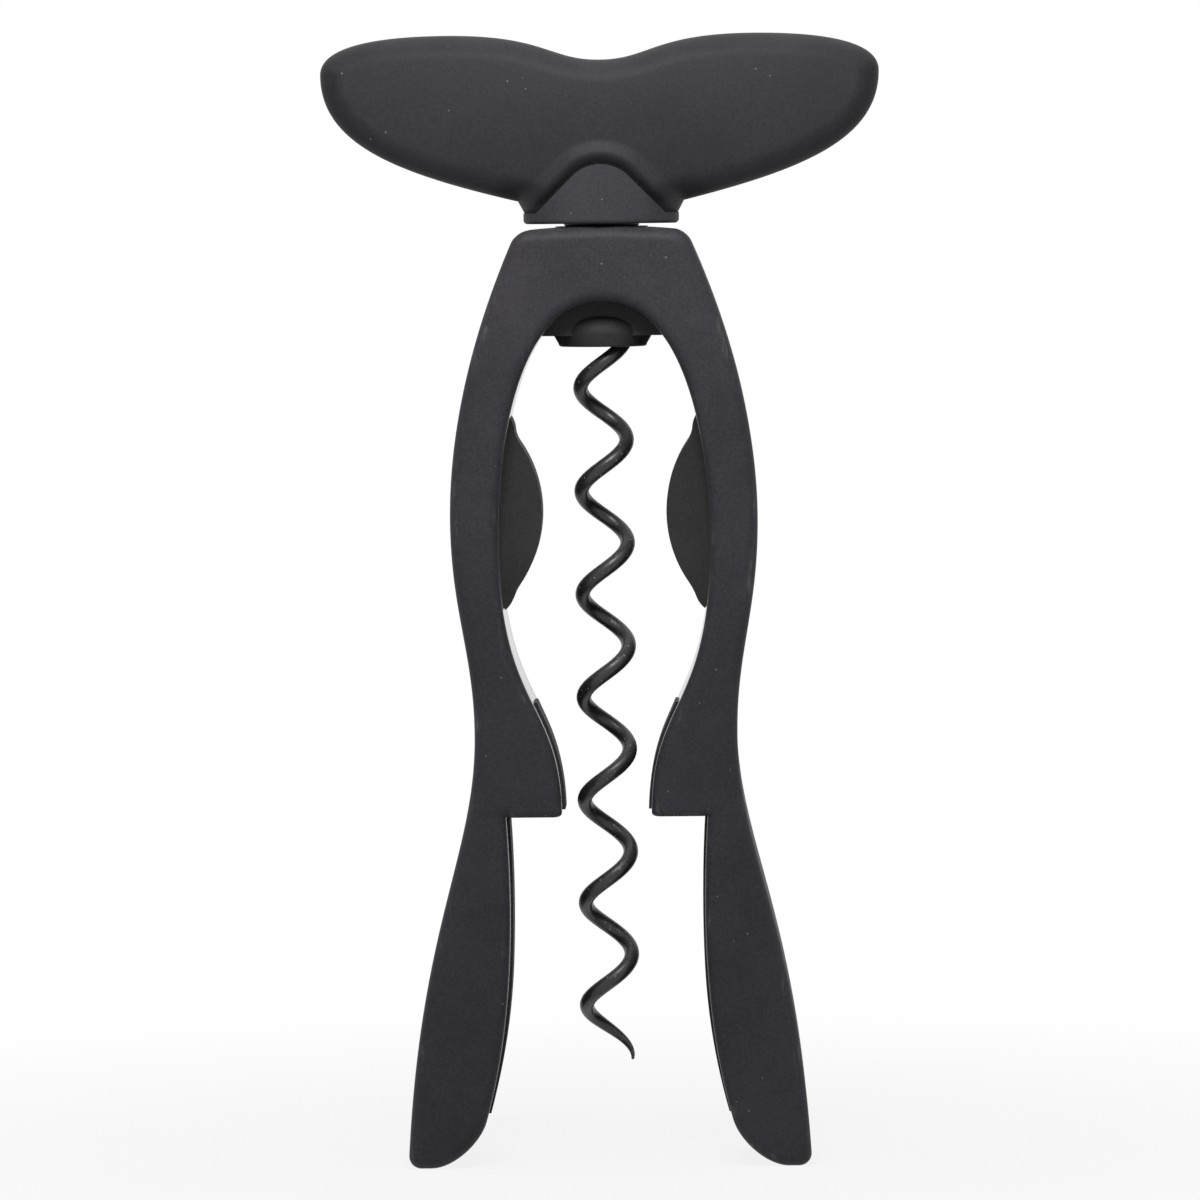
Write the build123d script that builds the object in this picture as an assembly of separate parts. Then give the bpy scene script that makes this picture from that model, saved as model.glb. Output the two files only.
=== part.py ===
from build123d import *
import math
import os

os.makedirs("parts", exist_ok=True)

# Corkscrew that stands on two sprung legs: a worm on a lobed handle turns in a bridge over a cork cage.
# Millimetres. Origin on the table between the feet, +Z up along the worm, -Y is the front.

# Frame: heights above the table
seat_z = 53.1
ceiling_z = 125.4
boss_bottom_z = 123.7
arch_top_z = 132.0
frame_shoulder_z = 141.4
frame_dome_rise = 0.5
belly_z = 98.0
cage_widest_z = 95.0
waist_z = 65.5
foot_curve_z = 7.0

# Frame: half widths across the object
shoulder_half_width = 12.7
belly_half_width = 23.15
waist_half_width = 19.8
foot_half_width = 30.4
foot_flat_width = 3.4
arch_radius = 9.2
cage_half_width = 15.95
seat_half_gap = 6.75
neck_half_gap = 15.2
ankle_half_gap = 18.6

# Frame: how each curve of the outline is pulled at its start and at its end, as (across, up)
flank_upper_pulls = ((7.6, -16.7), (0, 12.0))
flank_middle_pulls = ((0, -14.0), (0, 12.5))
flank_lower_pulls = ((0, -14.8), (-1.5, 17.4))
cage_pulls = ((0, -26.5), (0, 17.7))
cage_upper_pull = 7.0
cage_upper_end_pull = 13.0
neck_pulls = ((-1.03, -15.0), (-4.15, 14.6))
foot_pulls = ((0.9, -3.165), (-3.4, 0))

# Frame: layers through the depth
core_thickness = 12.0
cover_thickness = 6.0
cover_edge_radius = 1.8
corner_radius = 2.0
arch_corner_angle = 30.0

# Bridge: boss, bush and pegs
boss_radius = 7.6
boss_tip_radius = 6.7
boss_widest_z = 125.7
boss_dome_radius = 3.0
boss_nose_radius = 0.4
bush_outer_radius = 5.5
bush_flange_radius = 7.0
bush_flange_thickness = 1.2
bush_flange_clearance = 0.1
bush_recess = 0.3
bush_mouth_chamfer = 0.3
peg_radius = 1.5
peg_cover_depth = 3.6
shoulder_peg_place = (11.2, 135.0)
belly_peg_inset = 3.6
belly_peg_z = 106.0
waist_peg_inset = 5.2
waist_peg_z = 60.0
foot_peg_inset = 7.0
foot_peg_z = 14.0

# Soft grips on the inside of the legs
grip_reach = 6.55
grip_arc_radius = 18.9
grip_half_chord = 10.7
grip_flare_height = 3.9
grip_top_flare_slope = 0.36
grip_low_flare_slope = 0.6
grip_root_shortening = 3.0
grip_mid_z = 98.7
grip_width = 11.0
grip_root_depth = 1.6
pad_width = 10.4
pad_root_depth = 1.6
shoulder_pad_proud = 0.45
shoulder_pad_top_z = 70.0
neck_pad_proud = 0.35
pad_end_gap = 0.7

# Worm: an open right-handed coil that ends in a drawn-out point
worm_outer_radius = 4.57
wire_radius = 1.12
worm_pitch = 15.65
worm_left_z = 117.35
worm_tip_z = 15.35
worm_taper_turns = 0.55
worm_point_radius = 0.22
lead_in_top_z = 132.2
lead_in_turns = 0.5
shank_top_z = 161.0
quarters_per_turn = 4
point_stations = 7
point_taper_power = 1.6
least_coil_gap = 0.4

# Screw unit: clearances and hub
running_clearance = 0.06
bore_radius = 4.86
spigot_bottom_z = 133.0
washer_outer_radius = 5.7
washer_recess = 0.5
washer_chamfer = 0.2
hub_gap = 0.4
hub_half_width = 11.7
hub_depth = 24.2
hub_corner_radius = 6.5
hub_collar_height = 1.6
hub_edge_radius = 0.6
hub_key_width = 13.0
hub_key_depth = 11.0
hub_key_top_z = 157.5
anchor_radius = 2.7
anchor_head_height = 2.5
cross_pin_radius = 1.0
cross_pin_length = 18.0
cross_pin_z = 152.5
seam = 0.08

# Handle: two lobes and a dip, in half outline
handle_dip_z = 166.9
lobe_top_z = 170.7
lobe_top_x = 23.05
handle_half_width = 41.95
handle_wide_drop = 5.75
handle_root_z = 145.7
handle_root_half_width = 12.5
handle_neck_half_width = 11.55
handle_neck_corner_radius = 7.0
handle_top_pulls = ((7.6, 0), (-15.0, 0))
handle_end_pulls = ((10.5, 0), (0, 4.35))
handle_belly_pulls = ((0, -10.7), (17.3, 4.25))

# Handle: shells, bead and insert
handle_depth = 24.6
handle_edge_radius = 3.5
handle_crown_radius = 120.0
handle_wall = 2.6
arch_shield_top_z = 151.3
arch_shield_radius = 6.0
arch_shield_angle = 45.0
arch_bead_rise = 3.2
arch_bead_radius = 8.0
arch_bead_angle = 55.0
arch_bead_raise = 0.75
arch_bead_edge_radius = 0.8
insert_thickness = 8.5
insert_clearance = 0.3
insert_boss_radius = 3.4
insert_boss_x = 25.0
insert_boss_z = 160.5
rib_places = [-34.0, -14.0, 14.0, 34.0]
rib_thickness = 1.6
peg_wall_depth = 1.4
handle_peg_radius = 1.5

# Worked out from the sizes above
frame_half_depth = core_thickness / 2 + cover_thickness
frame_top_z = frame_shoulder_z + frame_dome_rise
hub_bottom_z = frame_top_z + hub_gap
hub_collar_top_z = hub_bottom_z + hub_collar_height
coil_radius = worm_outer_radius - wire_radius
half_depth = handle_depth / 2
handle_wide_z = lobe_top_z - handle_wide_drop
spigot_radius = bore_radius - running_clearance
washer_top_z = hub_bottom_z + washer_recess
cavity_half_depth = half_depth - handle_wall
shell_low_z = hub_collar_top_z + seam
past = 1.0


def mirrored(shape):
    """The same shape on the left of the object."""
    return mirror(shape, about=Plane.YZ)


def biarc(start, start_way, end, end_way):
    """Two arcs that leave start and reach end along the given directions and meet smoothly."""
    gap = end - start
    both = start_way + end_way
    spread = 2 * (1 - start_way.dot(end_way))
    along = gap.dot(both)
    if spread < 1e-9:
        reach = gap.dot(gap) / (2 * along)
    else:
        reach = (math.sqrt(along * along + spread * gap.dot(gap)) - along) / spread
    middle = (start + end + (start_way - end_way) * reach) * 0.5
    first = Edge.make_tangent_arc(start, start_way, middle)
    return [first, Edge.make_tangent_arc(middle, first % 1, end)]


def sweep_of_arcs(start, pulls, end, pairs):
    """A smooth run of tangent arcs in the outline plane, along the cubic curve with these ends and pulls."""
    start, end = Vector(*start), Vector(*end)
    first, second = start + Vector(*pulls[0]), end + Vector(*pulls[1])
    guide = Edge.make_bezier(start, first, second, end)
    edges = []
    for i in range(pairs):
        low, high = i / pairs, (i + 1) / pairs
        edges += biarc(guide @ low, guide % low, guide @ high, guide % high)
    return edges


def slab(face, front_y, back_y):
    """An outline drawn as (x, z), made a plate between two depths."""
    placed = Plane.XZ.offset(-back_y) * face
    return extrude(placed, amount=back_y - front_y)


def closed_outline(right_edges):
    """A face from edges on the right that start and end on the centre line, and their mirror images."""
    edges = list(right_edges) + [mirrored(edge) for edge in right_edges]
    return make_face(Curve() + edges)


def upright(radius, low_z, high_z):
    """A cylinder about the worm's axis."""
    disc = Pos(0, 0, low_z) * Circle(radius)
    return extrude(disc, amount=high_z - low_z)


def across(radius, x, z, front_y, back_y):
    """A cylinder along the depth."""
    return slab(Pos(x, z) * Circle(radius), front_y, back_y)


def block(width, depth, low_z, high_z):
    """A box centred on the worm's axis."""
    return Pos(0, 0, (low_z + high_z) / 2) * Box(width, depth, high_z - low_z)


def flank_edges():
    """The outside of the right leg, from the shoulder to the foot."""
    shoulder = (shoulder_half_width, frame_shoulder_z)
    belly = (belly_half_width, belly_z)
    waist = (waist_half_width, waist_z)
    foot = (foot_half_width, 0)
    upper = sweep_of_arcs(shoulder, flank_upper_pulls, belly, 1)
    middle = sweep_of_arcs(belly, flank_middle_pulls, waist, 1)
    lower = sweep_of_arcs(waist, flank_lower_pulls, foot, 2)
    return upper + middle + lower


def cage_edges():
    """The inside of the leg beside the cork cage, from the widest place down to the seat."""
    widest = (cage_half_width, cage_widest_z)
    seat = (seat_half_gap, seat_z)
    return sweep_of_arcs(widest, cage_pulls, seat, 3)


def arch_edges():
    """The round arch over the cage and the inside of the leg from there down to the widest place."""
    turn = math.radians(arch_corner_angle)
    corner = (arch_radius * math.cos(turn), arch_top_z - arch_radius * (1 - math.sin(turn)))
    widest = (cage_half_width, cage_widest_z)
    leaving = (cage_upper_pull * math.sin(turn), -cage_upper_pull * math.cos(turn))
    arch = RadiusArc((0, arch_top_z), corner, arch_radius)
    return [arch] + sweep_of_arcs(corner, (leaving, (0, cage_upper_end_pull)), widest, 2)


def neck_edges():
    """The inside of the leg that grips the bottle's neck, from the seat to the ankle."""
    top = (neck_half_gap, seat_z)
    ankle = (ankle_half_gap, foot_curve_z)
    return sweep_of_arcs(top, neck_pulls, ankle, 1)


def foot_edges():
    """The curved heel between the ankle and the flat of the foot."""
    ankle = (ankle_half_gap, foot_curve_z)
    flat = (foot_half_width - foot_flat_width, 0)
    return sweep_of_arcs(ankle, foot_pulls, flat, 1)


def frame_face():
    """A layer of the frame: one closed outline round both legs."""
    dome_top = (0, frame_top_z)
    shoulder = (shoulder_half_width, frame_shoulder_z)
    dome = ThreePointArc(dome_top, (shoulder_half_width / 2, frame_top_z - frame_dome_rise / 4), shoulder)
    flat = Line((foot_half_width - foot_flat_width, 0), (foot_half_width, 0))
    seat = Line((seat_half_gap, seat_z), (neck_half_gap, seat_z))
    right = [dome, flat, seat] + flank_edges() + foot_edges() + neck_edges() + cage_edges() + arch_edges()
    return closed_outline(right)


def corner_edges(plate, x, z):
    """The edges along the depth at a corner of the outline and at its mirror image."""
    found = []
    for edge in plate.edges().filter_by(Axis.Y):
        here = edge @ 0.5
        if math.hypot(abs(here.X) - x, here.Z - z) < 0.05:
            found.append(edge)
    return found


def rim_edges(plate, points):
    """The edges of the plate's front face that pass nearest to the given (x, z) points."""
    rim_face = plate.faces().sort_by(Axis.Y)[0]
    depth = rim_face.center().Y
    return [min(rim_face.edges(), key=lambda edge: edge.distance_to(Vector(x, depth, z))) for x, z in points]


def rounded_frame_plate(front_y, back_y):
    """The plate of a layer, with its shoulders and the outer corners of its feet rounded."""
    plate = slab(frame_face(), front_y, back_y)
    plate = fillet(corner_edges(plate, shoulder_half_width, frame_shoulder_z), corner_radius)
    return fillet(corner_edges(plate, foot_half_width, 0), corner_radius)


def peg_places():
    """Where the pegs cross the layers: in the shoulders, beside the cage, at the waist and above the feet."""
    belly = (belly_half_width - belly_peg_inset, belly_peg_z)
    waist = (waist_half_width - waist_peg_inset, waist_peg_z)
    foot = (foot_half_width - foot_peg_inset, foot_peg_z)
    right = [shoulder_peg_place, belly, waist, foot]
    return right + [(-x, z) for x, z in right]


def frame_pegs():
    """Eight round pegs that tie the two covers to the core."""
    half_length = core_thickness / 2 + peg_cover_depth
    pegs = [across(peg_radius, x, z, -half_length, half_length) for x, z in peg_places()]
    return Compound(children=pegs)


def cover(front):
    """A cover layer with rounded outer edges, a notch for the bush's flange and blind holes for the pegs."""
    plate = rounded_frame_plate(-frame_half_depth, -core_thickness / 2)
    belly = (belly_half_width, belly_z)
    plate = plate.fillet(cover_edge_radius, rim_edges(plate, [belly, (-belly[0], belly[1])]))
    plate = plate.fillet(cover_edge_radius, rim_edges(plate, [(0, arch_top_z)]))
    notch_low_z = frame_top_z - bush_flange_thickness - bush_flange_clearance
    plate -= upright(bush_flange_radius + bush_flange_clearance, notch_low_z, frame_top_z + past)
    for x, z in peg_places():
        plate -= across(peg_radius, x, z, -core_thickness / 2 - peg_cover_depth, 0)
    return plate if front else mirror(plate, about=Plane.XZ)


def boss():
    """The dome that holds the bush: it swells out of the core's faces and narrows to a nose under the ceiling."""
    dome_top_z = boss_widest_z + boss_dome_radius
    widest = Vector(boss_radius, boss_widest_z)
    crown = Vector(boss_radius - boss_dome_radius, dome_top_z)
    shoulder = Edge.make_tangent_arc(widest, Vector(0, 1), crown)
    sides = Polyline(crown, (0, dome_top_z), (0, boss_bottom_z), (boss_tip_radius, boss_bottom_z), widest)
    body = revolve(Plane.XZ * make_face(Curve() + [shoulder, sides]), Axis.Z)
    nose = [edge for edge in body.edges() if abs(edge.center().Z - boss_bottom_z) < 0.01]
    return fillet(nose, boss_nose_radius)


def core():
    """The plate between the covers: flat ceiling over the cage, boss for the bush, seats for the soft grips."""
    plate = rounded_frame_plate(-core_thickness / 2, core_thickness / 2)
    plate += block(2 * arch_radius, core_thickness, ceiling_z, arch_top_z + past)
    plate += boss()
    plate -= upright(bush_outer_radius, boss_bottom_z - past, frame_top_z + past)
    plate -= upright(bush_flange_radius, frame_top_z - bush_flange_thickness, frame_top_z + past)
    for part in (cork_grip(), shoulder_pad(), neck_pad()):
        plate -= part
        plate -= mirrored(part)
    for x, z in peg_places():
        plate -= across(peg_radius, x, z, -core_thickness, core_thickness)
    return plate


def guide_bush():
    """A flanged bush for the spigot and the worm, pressed into the bridge from above."""
    low_z = boss_bottom_z + bush_recess
    bush = upright(bush_outer_radius, low_z, frame_top_z)
    bush += upright(bush_flange_radius, frame_top_z - bush_flange_thickness, frame_top_z)
    bush -= upright(bore_radius, low_z - past, frame_top_z + past)
    mouths = [edge for edge in bush.edges().filter_by(GeomType.CIRCLE) if abs(edge.radius - bore_radius) < 0.01]
    return chamfer(mouths, bush_mouth_chamfer)


def cork_grip():
    """The right fin that stops the cork from turning: a shallow arc with flared ends on a root in the leg."""
    rise = math.sqrt(grip_arc_radius ** 2 - grip_half_chord ** 2)
    peak_x = cage_half_width - grip_reach
    end_x = peak_x + grip_arc_radius - rise
    slope = grip_half_chord / rise
    top = Vector(end_x, grip_mid_z + grip_half_chord)
    low = Vector(end_x, grip_mid_z - grip_half_chord)
    top_tip = top + Vector(grip_top_flare_slope, 1) * grip_flare_height
    low_tip = low + Vector(grip_low_flare_slope, -1) * grip_flare_height
    nose = ThreePointArc(top, (peak_x, grip_mid_z), low)
    upper = biarc(top, Vector(slope, 1).normalized(), top_tip, Vector(grip_top_flare_slope * 2, 1).normalized())
    lower = biarc(low, Vector(slope, -1).normalized(), low_tip, Vector(grip_low_flare_slope * 2, -1).normalized())
    root_x = cage_half_width + grip_root_depth
    root_top = (root_x, top_tip.Y - grip_root_shortening)
    root_low = (root_x, low_tip.Y + grip_root_shortening)
    root = Polyline(top_tip, root_top, root_low, low_tip)
    outline = make_face(Curve() + [nose, root] + upper + lower)
    return slab(outline, -grip_width / 2, grip_width / 2)


def pad_between(edges, proud, low_z, high_z):
    """A strip of soft pad that follows a wall of the cage: the wall's line moved out and into the leg."""
    outer = [Pos(-proud, 0) * edge for edge in edges]
    inner = [Pos(pad_root_depth, 0) * edge for edge in edges]
    ends = [Line(outer[0] @ 0, inner[0] @ 0), Line(outer[-1] @ 1, inner[-1] @ 1)]
    strip = slab(make_face(Curve() + outer + inner + ends), -pad_width / 2, pad_width / 2)
    window = Pos(0, 0, (low_z + high_z) / 2) * Box(4 * foot_half_width, core_thickness, high_z - low_z)
    return strip & window


def shoulder_pad():
    """The right pad that the cork slides past, above the seat."""
    return pad_between(cage_edges(), shoulder_pad_proud, seat_z + pad_end_gap, shoulder_pad_top_z)


def neck_pad():
    """The right pad that grips the bottle's neck, below the seat."""
    return pad_between(neck_edges(), neck_pad_proud, foot_curve_z + pad_end_gap, seat_z - pad_end_gap)


def worm_point(turn):
    """A point of the wire's centre line, by turns above the left-hand side at worm_left_z."""
    height = worm_left_z + worm_pitch * turn
    inward = (height - (lead_in_top_z - lead_in_turns * worm_pitch)) / (lead_in_turns * worm_pitch)
    inward = min(max(inward, 0), 1)
    reach = coil_radius * (1 - inward * inward * (3 - 2 * inward))
    angle = math.pi + 2 * math.pi * turn
    return Vector(reach * math.cos(angle), reach * math.sin(angle), height)


def worm_direction(turn):
    """The direction of the wire's centre line, upwards."""
    step = 0.0005
    return (worm_point(turn + step) - worm_point(turn - step)).normalized()


def coil_gap():
    """The least gap between the wire and itself, measured on points a half turn or more apart."""
    top_turn = (lead_in_top_z - worm_left_z) / worm_pitch
    tip_turn = (worm_tip_z - worm_left_z) / worm_pitch
    per_turn = 24
    count = round((top_turn - tip_turn) * per_turn)
    line = [worm_point(tip_turn + i / per_turn) for i in range(count + 1)]
    line += [Vector(0, 0, lead_in_top_z + wire_radius * i) for i in range(1, 9)]
    gaps = []
    for i, here in enumerate(line):
        for other in line[i + per_turn // 2:]:
            gaps.append((other - here).length - 2 * wire_radius)
    return min(gaps)


def worm():
    """The whole worm: straight shank, lead-in, coil of quarter turns and a tapered point."""
    top_turn = (lead_in_top_z - worm_left_z) / worm_pitch
    tip_turn = (worm_tip_z - worm_left_z) / worm_pitch
    taper_turn = tip_turn + worm_taper_turns
    count = math.ceil((top_turn - taper_turn) * quarters_per_turn)
    turns = [top_turn + (taper_turn - top_turn) * i / count for i in range(count + 1)]
    points = [worm_point(turn) for turn in turns]
    ways = [Vector(0, 0, -1)] + [worm_direction(turn) * -1 for turn in turns[1:]]
    path = [Edge.make_line(Vector(0, 0, shank_top_z), points[0])]
    for i in range(count):
        path += biarc(points[i], ways[i], points[i + 1], ways[i + 1])
    section = Plane(origin=Vector(0, 0, shank_top_z), z_dir=(0, 0, -1)) * Circle(wire_radius)
    coil = sweep(section, path=Wire(path))
    rings = []
    for i in range(point_stations):
        share = i / (point_stations - 1)
        turn = taper_turn + (tip_turn - taper_turn) * share
        radius = wire_radius + (worm_point_radius - wire_radius) * share ** point_taper_power
        rings.append(Plane(origin=worm_point(turn), z_dir=worm_direction(turn) * -1) * Circle(radius))
    return coil + loft(rings)


def thrust_washer():
    """The ring that carries the hub above the bridge."""
    ring = upright(washer_outer_radius, frame_top_z, washer_top_z)
    ring -= upright(bore_radius, frame_top_z, washer_top_z)
    return chamfer(ring.edges().filter_by(GeomType.CIRCLE), washer_chamfer)


def arch_face(radius, side_angle, apex_z, low_z):
    """A rounded arch with straight sloping sides, from its apex down to a level foot."""
    turn = math.radians(side_angle)
    corner = (radius * math.sin(turn), apex_z - radius * (1 - math.cos(turn)))
    foot = (corner[0] + (corner[1] - low_z) / math.tan(turn), low_z)
    crown = RadiusArc((0, apex_z), corner, radius)
    return closed_outline([crown, Line(corner, foot), Line(foot, (0, low_z))])


def neck_outline():
    """The handle's neck seen from the front: it widens from the hub's collar up to the root of the lobes."""
    root = (handle_root_half_width, handle_root_z)
    top_z = handle_root_z + handle_wall
    corners = [(0, shell_low_z), (handle_neck_half_width, shell_low_z), root, (root[0], top_z), (0, top_z)]
    return closed_outline(Polyline(*corners).edges())


def neck_block(depth, low_z, high_z):
    """The handle's neck seen from above: a block with well rounded upright corners."""
    outline = RectangleRounded(2 * handle_root_half_width, depth, handle_neck_corner_radius)
    return extrude(Pos(0, 0, low_z) * outline, amount=high_z - low_z)


def hub_block(low_z, high_z):
    """The hub seen from above: a block with rounded upright corners."""
    outline = RectangleRounded(2 * hub_half_width, hub_depth, hub_corner_radius)
    return extrude(Pos(0, 0, low_z) * outline, amount=high_z - low_z)


def hub():
    """The moulded core of the handle: collar, shield, key and the spigot that runs in the bush."""
    collar = hub_block(hub_bottom_z, hub_collar_top_z)
    collar = fillet(collar.faces().sort_by(Axis.Z)[0].edges(), hub_edge_radius)
    shield_foot_z = hub_collar_top_z - hub_edge_radius
    shield_face = arch_face(arch_shield_radius - seam, arch_shield_angle, arch_shield_top_z - seam, shield_foot_z)
    shield = slab(shield_face, -half_depth, half_depth) & hub_block(hub_bottom_z, arch_shield_top_z)
    body = collar + shield + block(hub_key_width, hub_key_depth, hub_collar_top_z - past, hub_key_top_z)
    body += upright(spigot_radius, spigot_bottom_z, hub_collar_top_z)
    body -= upright(washer_outer_radius + seam, hub_bottom_z, washer_top_z) - upright(spigot_radius, 0, lobe_top_z)
    body -= upright(anchor_radius, spigot_bottom_z - past, hub_key_top_z + past)
    body -= cross_pin()
    return body


def cross_pin():
    """The pin beside the wire, through the hub, the anchor's flank and the insert, so that they turn together."""
    beside_wire = wire_radius + cross_pin_radius + seam
    return Pos(0, beside_wire, cross_pin_z) * Rot(0, 90, 0) * Cylinder(cross_pin_radius, cross_pin_length)


def worm_anchor():
    """The steel sleeve pressed on the worm's shank."""
    sleeve = upright(anchor_radius, spigot_bottom_z, hub_key_top_z + anchor_head_height)
    sleeve -= upright(wire_radius, spigot_bottom_z - past, hub_key_top_z + 2 * anchor_head_height)
    return sleeve - cross_pin()


def handle_outline(inset):
    """The two lobes of the handle, closed along its root, drawn the given wall inside the real outline."""
    dip = (0, handle_dip_z - inset)
    lobe = (lobe_top_x, lobe_top_z - inset)
    wide = (handle_half_width - inset, handle_wide_z)
    root = (handle_root_half_width, handle_root_z + inset)
    top = sweep_of_arcs(dip, handle_top_pulls, lobe, 2)
    end = sweep_of_arcs(lobe, handle_end_pulls, wide, 2)
    belly = sweep_of_arcs(wide, handle_belly_pulls, root, 3)
    return closed_outline(top + end + belly + [Line(root, (0, root[1]))])


def bead():
    """The raised bead that frames the shield, following the roundness of the neck."""
    apex_z = arch_shield_top_z + arch_bead_rise
    front_y = -half_depth - arch_bead_raise
    ring = slab(arch_face(arch_bead_radius, arch_bead_angle, apex_z, shell_low_z), front_y, -seam / 2)
    ring &= neck_block(-2 * front_y, shell_low_z, apex_z + past)
    outer = []
    for edge in ring.edges():
        here, way = edge @ 0.5, edge % 0.5
        level = abs(way.Y) < 0.999 and abs(way.Z) < 0.999
        if level and here.Y < -seam and here.Z > shell_low_z + seam:
            outer.append(edge)
    return ring.fillet(arch_bead_edge_radius, outer)


def handle_shell(front):
    """Half of the handle: a crowned shell with ribs, and an arched bead round the hub's shield."""
    body = slab(handle_outline(0), -half_depth, -seam / 2)
    middle_z = (handle_root_z + lobe_top_z) / 2
    drum = Pos(0, handle_crown_radius - half_depth, middle_z) * Rot(0, 90, 0)
    body &= drum * Cylinder(handle_crown_radius, 3 * handle_half_width)
    rim = body.faces().sort_by(Axis.Y)[0].edges()
    root_line = rim.filter_by(Axis.X).filter_by_position(Axis.Z, handle_root_z - 0.1, handle_root_z + 0.1)
    body = body.fillet(handle_edge_radius, rim - root_line)
    neck = slab(neck_outline(), -half_depth, -seam / 2)
    body += neck & neck_block(handle_depth, shell_low_z, handle_root_z + handle_wall)
    body += bead()
    body -= slab(handle_outline(handle_wall), -cavity_half_depth, 0)
    web = slab(handle_outline(handle_wall / 2), -cavity_half_depth - past, -insert_thickness / 2 - seam)
    for x in rib_places:
        body += web & Pos(x, 0, middle_z) * Box(rib_thickness, handle_depth, handle_depth * 3)
    window = arch_face(arch_shield_radius, arch_shield_angle, arch_shield_top_z, shell_low_z - past)
    body -= slab(window, -handle_depth, handle_depth)
    body -= block(hub_key_width + 2 * seam, hub_key_depth + 2 * seam, 0, hub_key_top_z + seam)
    for x in (-insert_boss_x, insert_boss_x):
        body -= across(handle_peg_radius, x, insert_boss_z, -cavity_half_depth - peg_wall_depth, 0)
    return body if front else mirror(body, about=Plane.XZ)


def handle_insert():
    """The rib plate inside the handle that holds the hub's key and carries both shells on its bosses."""
    outline = handle_outline(handle_wall + insert_clearance)
    plate = slab(outline, -insert_thickness / 2, insert_thickness / 2)
    for x in (-insert_boss_x, insert_boss_x):
        plate += across(insert_boss_radius, x, insert_boss_z, -cavity_half_depth, cavity_half_depth)
        plate -= across(handle_peg_radius, x, insert_boss_z, -half_depth, half_depth)
    plate -= block(hub_key_width, handle_depth, 0, hub_key_top_z)
    plate -= upright(anchor_radius, 0, hub_key_top_z + anchor_head_height + past)
    return plate - cross_pin()


def handle_pegs():
    """Two pegs that tie both shells to the insert."""
    half_length = cavity_half_depth + peg_wall_depth
    places = (-insert_boss_x, insert_boss_x)
    pegs = [across(handle_peg_radius, x, insert_boss_z, -half_length, half_length) for x in places]
    return Compound(children=pegs)


nodes = {
    "frame_core": core(),
    "front_cover": cover(True),
    "back_cover": cover(False),
    "frame_pegs": frame_pegs(),
    "guide_bush": guide_bush(),
    "right_cork_grip": cork_grip(),
    "left_cork_grip": mirrored(cork_grip()),
    "right_shoulder_pad": shoulder_pad(),
    "left_shoulder_pad": mirrored(shoulder_pad()),
    "right_neck_pad": neck_pad(),
    "left_neck_pad": mirrored(neck_pad()),
    "thrust_washer": thrust_washer(),
    "hub": hub(),
    "worm": worm(),
    "worm_anchor": worm_anchor(),
    "cross_pin": cross_pin(),
    "handle_front_shell": handle_shell(True),
    "handle_back_shell": handle_shell(False),
    "handle_insert": handle_insert(),
    "handle_pegs": handle_pegs(),
}

for name, solid in nodes.items():
    export_step(solid, "parts/" + name + ".step")

gap = coil_gap()
print("least gap of the coil to itself:", round(gap, 2), "mm, at least", least_coil_gap, "mm is needed")
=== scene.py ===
import math
import bmesh
import bpy
import numpy as np
from mathutils import Matrix, Vector


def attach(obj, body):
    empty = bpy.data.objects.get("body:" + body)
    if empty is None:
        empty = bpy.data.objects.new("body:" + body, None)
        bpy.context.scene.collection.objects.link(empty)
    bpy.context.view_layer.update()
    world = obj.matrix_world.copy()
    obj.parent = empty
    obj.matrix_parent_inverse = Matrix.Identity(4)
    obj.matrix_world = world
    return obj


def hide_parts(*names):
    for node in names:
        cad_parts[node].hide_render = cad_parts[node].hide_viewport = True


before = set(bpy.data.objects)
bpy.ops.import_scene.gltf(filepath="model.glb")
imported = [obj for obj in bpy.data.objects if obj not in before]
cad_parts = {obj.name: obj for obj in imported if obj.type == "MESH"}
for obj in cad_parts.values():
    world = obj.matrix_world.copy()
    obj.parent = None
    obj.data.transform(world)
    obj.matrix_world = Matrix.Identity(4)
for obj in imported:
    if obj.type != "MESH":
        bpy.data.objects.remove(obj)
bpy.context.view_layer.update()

# The studio: a white table top that runs out to a white room, lit by a broad soft box overhead, a
# weaker one from the front and an even sky. Its white comes from its own surface, seen by the camera
# and in reflections, so the lamps stay low enough for the black plastic to keep its tone.
MM = 0.001
PHOTO_WIDTH = 1200
MIDDLE_SCALE = 6.59
SENSOR_WIDTH = 36.0
CAMERA_DISTANCE = 1200.0
CAMERA_TURN = math.radians(0.8)
CAMERA_TILT = math.radians(3.0)
CAMERA_ROLL = math.radians(-0.6)
camera_aim = Vector((-0.84, 0.0, 85.2))
WHITE = (1.0, 1.0, 1.0, 1.0)
TABLE_HALF = 900.0
TABLE_DROP = 0.02
TABLE_WHITE = (0.92, 0.92, 0.92, 1.0)
TABLE_GLOW = 0.86
SHADOW_NEAR = 50.0
SHADOW_FAR = 220.0
SKY_STRENGTH = 0.2


def put_mesh(name, points, faces, smooth=True):
    """A mesh object from points in millimetres and faces by index; its place is in its mesh."""
    mesh = bpy.data.meshes.new(name)
    mesh.from_pydata((np.asarray(points, float) * MM).tolist(), [], [tuple(face) for face in faces])
    mesh.polygons.foreach_set("use_smooth", np.full(len(mesh.polygons), smooth))
    mesh.validate()
    mesh.update()
    made = bpy.data.objects.new(name, mesh)
    bpy.context.scene.collection.objects.link(made)
    return made


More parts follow.
